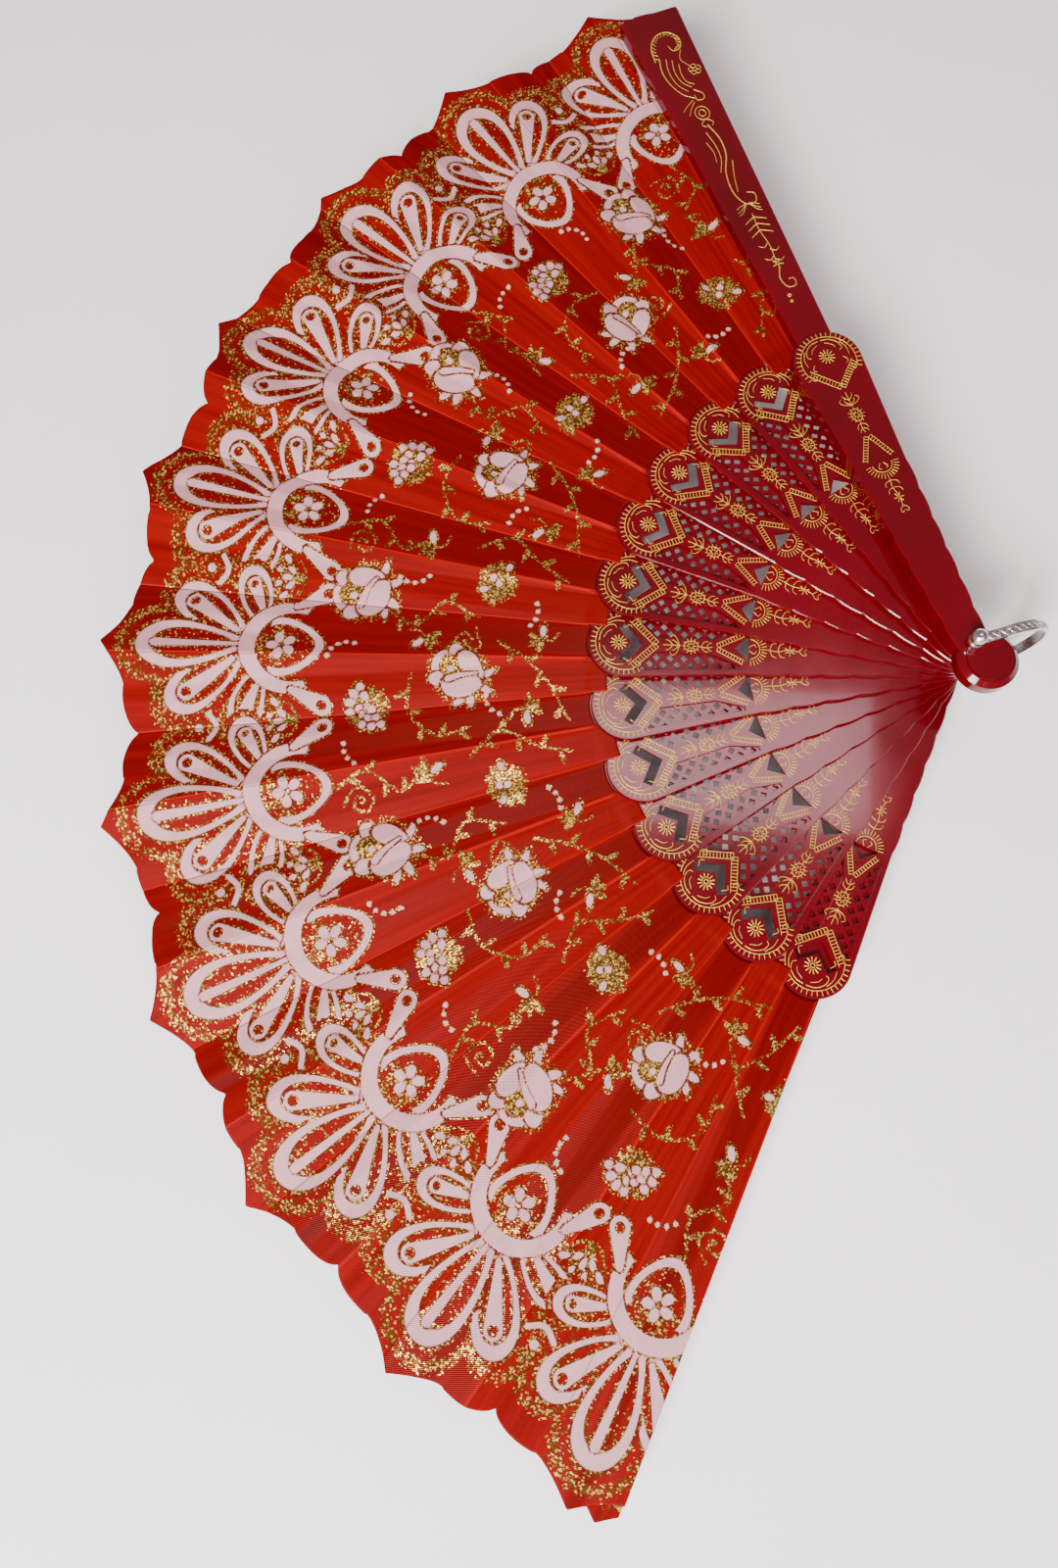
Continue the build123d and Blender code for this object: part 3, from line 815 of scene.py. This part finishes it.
class Foil:
    """Raised foil lines, gathered as one curve and turned into a mesh at the end."""

    def __init__(self, name, boldness):
        self.boldness = boldness
        self.curve = bpy.data.curves.new(name, "CURVE")
        self.curve.dimensions = "3D"
        self.curve.bevel_depth = MM
        self.curve.bevel_resolution = 1
        self.curve.use_fill_caps = True
        self.curve.resolution_u = 1

    def line(self, points, width=0.32, end_width=None, count=12):
        """Smooth line of a width through (along, across) points."""
        places = swept(points, count) if len(points) > 2 else np.array(points, float)
        widths = np.linspace(width, width if end_width is None else end_width, len(places)) / 2
        spline = self.curve.splines.new("POLY")
        spline.points.add(len(places) - 1)
        for point, (x, y), half in zip(spline.points, places, widths):
            point.co = (x * MM, y * MM, 0, 1)
            point.radius = self.boldness * half

    def ring(self, centre, radius, width=0.32, stretch=1.0, count=16):
        turn = np.linspace(0, 2 * np.pi, count + 1)
        places = [(centre[0] + radius * stretch * np.cos(a), centre[1] + radius * np.sin(a)) for a in turn]
        self.line(places, width, count=count + 1)

    def petals(self, centre, inner, outer, count, width=0.4, first=0.0, span=360.0):
        """Short strokes round a centre."""
        for i in range(count):
            a = np.radians(first + span * i / (count if span == 360 else count - 1))
            c, s = np.cos(a), np.sin(a)
            self.line([(centre[0] + inner * c, centre[1] + inner * s),
                       (centre[0] + outer * c, centre[1] + outer * s)], width)

    def both(self, points, width=0.32, end_width=None, count=12):
        """A line and its mirror image across the stick's middle."""
        for side in (1, -1):
            self.line([(x, side * y) for x, y in points], width, end_width, count)

    def ladder(self, first, last, half, pitch=0.95, width=0.26):
        """Two rails with rungs between them, mirrored across the stick's middle."""
        first, last = np.array(first, float), np.array(last, float)
        way = (last - first) / np.linalg.norm(last - first)
        out = np.array((-way[1], way[0])) * half
        for side in (1, -1):
            flip = np.array((1, side))
            for rail in (out, -out):
                self.line([(first + rail) * flip, (last + rail) * flip], width)
            for i in range(int(np.linalg.norm(last - first) / pitch) + 1):
                spot = first + way * pitch * i
                self.line([(spot + out) * flip, (spot - out) * flip], width)

    def mesh(self):
        """The lines as one mesh, pressed flat."""
        holder = bpy.data.objects.new("foil_pattern", self.curve)
        mesh = bpy.data.meshes.new_from_object(holder)
        mesh.transform(Matrix.Diagonal((1, 1, 0.35, 1)))
        bpy.data.objects.remove(holder)
        return mesh


def stick_foil():
    """Ornament of one stick's head and shank, on the middle line that points along +X."""
    foil = Foil("stick_foil", 0.6)
    for i in range(27):
        a = np.radians(-118 + 236 * i / 26)
        c, s = np.cos(a), np.sin(a)
        foil.line([(HEAD_MIDDLE + 8.0 * c, 8.0 * s), (HEAD_MIDDLE + 9.3 * c, 9.3 * s)], 0.34)
    turns = np.radians(range(-118, 119, 12))
    arc = [(HEAD_MIDDLE + 7.9 * np.cos(a), 7.9 * np.sin(a)) for a in turns]
    foil.line(arc, 0.34, count=40)
    foil.both([(86.6, 6.9), (85.9, 6.0), (86.8, 5.3), (87.6, 5.9)], 0.34, 0.22)
    foil.petals((92, 0), 1.0, 2.3, 12, 0.5)
    foil.ring((92, 0), 0.6, 0.4, count=10)
    foil.both([(97.4, 0.4), (97.0, 2.8), (95.3, 4.8), (93.4, 5.2), (92.8, 4.3)], 0.45, 0.25)
    foil.both([(96.3, 1.2), (95.2, 3.0), (94.0, 3.6)], 0.3, 0.2)
    foil.both([(95.4, 5.4), (93.0, 6.4), (90.6, 6.3)], 0.4, 0.2)
    foil.both([(90.6, 4.4), (89.2, 5.3), (88.4, 4.5)], 0.34, 0.22)
    foil.ladder((81.7, 0.2), (88.6, 7.0), 0.85, 0.9)
    for x in (76.6, 78.2):
        foil.both([(x - 1.0, 0), (x, 1.2), (x + 0.9, 1.5)], 0.36, 0.2)
    foil.both([(75.4, 0.1), (76.2, 2.2), (77.4, 2.9), (78.0, 2.1)], 0.3, 0.2)
    foil.line([(79.8, 0), (77.5, 0), (75.0, 0)], 0.3)
    foil.ring((72.2, 0), 1.5, 0.32, 1.3)
    foil.petals((72.2, 0), 0.5, 1.3, 8, 0.36)
    foil.petals((72.2, 0), 1.7, 2.4, 12, 0.26)
    foil.line([(69.8, 0), (68.0, 0.3), (66.4, 0)], 0.3)
    foil.both([(69.4, 0.1), (68.6, 1.3), (67.6, 1.5)], 0.3, 0.2)
    foil.both([(67.9, 0.1), (67.2, 1.0), (66.6, 1.2)], 0.3, 0.2)
    foil.ladder((65.0, 0.5), (57.8, 4.1), 0.62, 0.85, 0.24)
    half = [(56.3 - 2.9 * np.cos(np.radians(a)), 2.9 * np.sin(np.radians(a))) for a in range(-84, 85, 12)]
    foil.line(half, 0.36, count=24)
    foil.petals((56.3, 0), 3.4, 4.9, 15, 0.32, 96, 168)
    foil.both([(56.3, 0.5), (55.0, 1.3), (54.4, 0.6)], 0.34, 0.24)
    foil.line([(51.2, 0), (48.5, 0.35), (45.6, -0.2), (42.4, 0.1)], 0.3)
    for x in (50.6, 48.4):
        foil.both([(x, 0.1), (x - 0.5, 1.6), (x - 1.7, 2.1)], 0.34, 0.2)
    foil.petals((45.2, 0), 0.3, 1.5, 6, 0.34, 30)
    foil.both([(42.6, 0.1), (41.6, 1.1), (40.6, 0.9), (41.2, 0.2)], 0.3, 0.2)
    return foil.mesh()


def blade_foil():
    """Scrolled plume, flower, leafed S scroll and budding sprig down a guard's blade."""
    foil = Foil("blade_foil", 0.78)
    spine = [(205, 5.4), (210.5, 4.6), (214.4, 1.6), (214.6, -2.4),
             (211.4, -4.9), (207.8, -3.9), (207.4, -1.4), (209.6, -0.6)]
    foil.line(spine, 0.55, 0.3, 40)
    places = swept(spine, 26)
    for i in range(1, 22):
        step = places[i + 1] - places[i]
        out = np.array((-step[1], step[0])) / np.linalg.norm(step)
        foil.line([places[i], places[i] - out * 1.5 - step * 0.6], 0.3, 0.2)
    foil.line([(206, 3.8), (201, 4.9), (196, 4.4), (191, 2.3), (188.4, -0.8)], 0.5, 0.3, 20)
    foil.line([(205, 2.0), (200, 3.0), (195, 2.4), (191.4, 0.2)], 0.34, 0.24, 16)
    foil.line([(204, 0.4), (199.6, 1.3), (195.2, 0.7), (192.6, -1.4)], 0.34, 0.24, 16)
    foil.line([(202, -1.0), (198.2, -0.3), (195, -0.8), (193.4, -2.6)], 0.34, 0.24, 16)
    foil.line([(207, -3.6), (203.5, -2.2), (200.0, -4.2)], 0.3, 0.26)
    for lean in range(0, 360, 72):
        a = np.radians(lean)
        foil.ring((198.6 + 1.3 * np.cos(a), -4.9 + 1.3 * np.sin(a)), 0.75, 0.28, count=8)
    foil.line([(191.6, -1.6), (189.4, -3.6), (187.4, -3.2), (187.6, -1.2), (189.6, -1.0)], 0.42, 0.26, 18)
    foil.line([(188.0, 0.2), (186.4, 2.6), (184.8, 4.6)], 0.34, 0.2)
    foil.line([(187.2, 0.0), (185.0, 2.0), (182.8, 3.4)], 0.34, 0.2)
    foil.ring((182.6, -0.6), 2.2, 0.34, 1.15)
    foil.ring((182.6, -0.6), 1.1, 0.3, 1.15, 10)
    for side in (-1, 1):
        foil.line([(180.4, -0.6), (178.6, -0.6 + 1.8 * side), (177.2, -0.8 + 0.8 * side)], 0.34, 0.22)
    foil.line([(178, -0.4), (172, -1.8), (166, -1.2), (160, 1.4), (153, 2.2),
               (148, 0.4), (147.6, -2.8), (150.4, -3.6), (151.6, -1.6)], 0.6, 0.34, 44)
    foil.line([(175.5, 1.2), (170, 0.4), (165, 0.8), (160.6, 2.8)], 0.4, 0.26, 16)
    foil.line([(172.0, 2.6), (168, 1.9), (164.4, 2.5)], 0.34, 0.2)
    foil.line([(163.5, -2.2), (158, -0.4), (152.5, 0.8)], 0.36, 0.26, 14)
    for x in (146.6, 145.4, 144.4):
        foil.line([(147.8, 0.2), (x + 0.8, 2.2), (x, 3.8)], 0.36, 0.2)
        foil.line([(147.8, -0.6), (x + 0.8, -2.0), (x - 0.2, -3.4)], 0.36, 0.2)
    for x in (141.6, 139.2, 136.8):
        foil.line([(x + 1.2, 0), (x, 2.4), (x - 0.6, 3.4)], 0.5, 0.24)
        foil.line([(x + 1.2, 0), (x, -2.4), (x - 0.6, -3.4)], 0.5, 0.24)
    foil.line([(144, 0), (138, 0.3), (132, -0.4), (126, 0.2)], 0.36)
    for x, side in ((133, 1), (131, -1), (128.4, 1), (127.4, -1)):
        foil.line([(x, 0), (x - 1.0, 1.4 * side), (x - 0.2, 2.8 * side)], 0.42, 0.22)
    foil.petals((125.6, 0), 0.3, 1.7, 5, 0.5, 36)
    foil.line([(124, 0.2), (120.5, 1.4), (117.4, 0.4), (117.2, -2.0),
               (119.4, -2.4), (119.8, -0.8)], 0.5, 0.3, 26)
    foil.ring((114.6, 1.2), 0.45, 0.5, count=8)
    foil.ring((112.6, 1.4), 0.35, 0.4, count=8)
    return foil.mesh()


def add_foil(gold):
    """Foil on the face of every stick and on the outer face of both guards."""
    head, blade = stick_foil(), blade_foil()
    for number in range(1, STICKS + 1):
        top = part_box(f"inner_stick_{number:02d}")[1].z
        turn = Matrix.Rotation(np.radians(FRONT_ANGLE + PITCH * number), 4, "Z")
        layers = [(head, Matrix.Translation((0, 0, top)) @ turn)]
        add_foil_piece(f"foil_stick_{number:02d}", layers, body_of(number), gold)
    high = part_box("front_guard")[1].z
    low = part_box("back_guard")[0].z
    pad, step = 0.4 * MM, 0.5 * MM  # boss over the head's face, and head's face over the blade's
    turn = Matrix.Rotation(np.radians(FRONT_ANGLE), 4, "Z")
    raise_head = Matrix.Translation((0, 0, high - pad)) @ turn
    raise_blade = Matrix.Translation((0, 0, high - pad - step)) @ turn
    add_foil_piece("foil_front_guard", [(head, raise_head), (blade, raise_blade)], "front_guard", gold)
    turn = Matrix.Rotation(np.radians(BACK_ANGLE), 4, "Z") @ Matrix.Diagonal((1, 1, -1, 1))
    lower_head = Matrix.Translation((0, 0, low)) @ turn
    lower_blade = Matrix.Translation((0, 0, low + step)) @ turn
    add_foil_piece("foil_back_guard", [(head, lower_head), (blade, lower_blade)], "back_guard", gold)


def add_foil_piece(name, layers, body, gold):
    """One foil piece from placed copies of the patterns."""
    form = bmesh.new()
    for pattern, place in layers:
        copy = pattern.copy()
        copy.transform(place)
        form.from_mesh(copy)
        bpy.data.meshes.remove(copy)
    bmesh.ops.recalc_face_normals(form, faces=form.faces)
    mesh = bpy.data.meshes.new(name)
    form.to_mesh(mesh)
    form.free()
    mesh.materials.append(gold)
    for face in mesh.polygons:
        face.use_smooth = True
    piece = keep(bpy.data.objects.new(name, mesh))
    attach(piece, body)


def add_ring_braid(silver):
    """Two raised wires crossing along the outside of the ring's strap."""
    low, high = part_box("hanging_ring")
    middle = (low.z + high.z) / 2 / MM
    outer = (high.z - low.z) / 2 / MM
    arm = 10.5  # from the pin to where the strap starts its bow
    curve = bpy.data.curves.new("ring_braid", "CURVE")
    curve.dimensions = "3D"
    curve.bevel_depth = 0.2 * MM
    curve.bevel_resolution = 1
    curve.use_fill_caps = True
    start, bow = 3.4, np.pi * outer
    whole = 2 * (arm - start) + bow
    direction = np.radians(-69.5)
    count = 260
    for phase in (0, np.pi):
        spline = curve.splines.new("POLY")
        spline.points.add(count - 1)
        for i, point in enumerate(spline.points):
            s = whole * i / (count - 1)
            swing = 0.85 * np.sin(s * 2 * np.pi / 4.2 + phase)
            if s < arm - start:
                along, rise = start + s, outer
            elif s < arm - start + bow:
                a = (s - arm + start) / outer
                along, rise = arm + outer * np.sin(a), outer * np.cos(a)
            else:
                along, rise = arm - (s - arm + start - bow), -outer
            x = along * np.cos(direction) - swing * np.sin(direction)
            y = along * np.sin(direction) + swing * np.cos(direction)
            point.co = (x * MM, y * MM, (middle + rise) * MM, 1)
    holder = bpy.data.objects.new("ring_braid", curve)
    mesh = bpy.data.meshes.new_from_object(holder)
    bpy.data.objects.remove(holder)
    mesh.materials.append(silver)
    piece = keep(bpy.data.objects.new("ring_braid", mesh))
    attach(piece, "ring")


def dress_parts(plastic, silver):
    """Finish of the parts that keep their own shape."""
    for name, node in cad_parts.items():
        if name.startswith("leaf_"):
            continue
        finish = plastic if "stick" in name or "guard" in name else silver
        node.data.materials.clear()
        node.data.materials.append(finish)


add_camera()
add_floor()
add_lights()
gold_finish = gold_foil()
silver_finish = silver_plate()
dress_parts(crimson_plastic(), silver_finish)
add_leaf(printed_cloth(), cloth_back())
add_foil(gold_finish)
add_ring_braid(silver_finish)
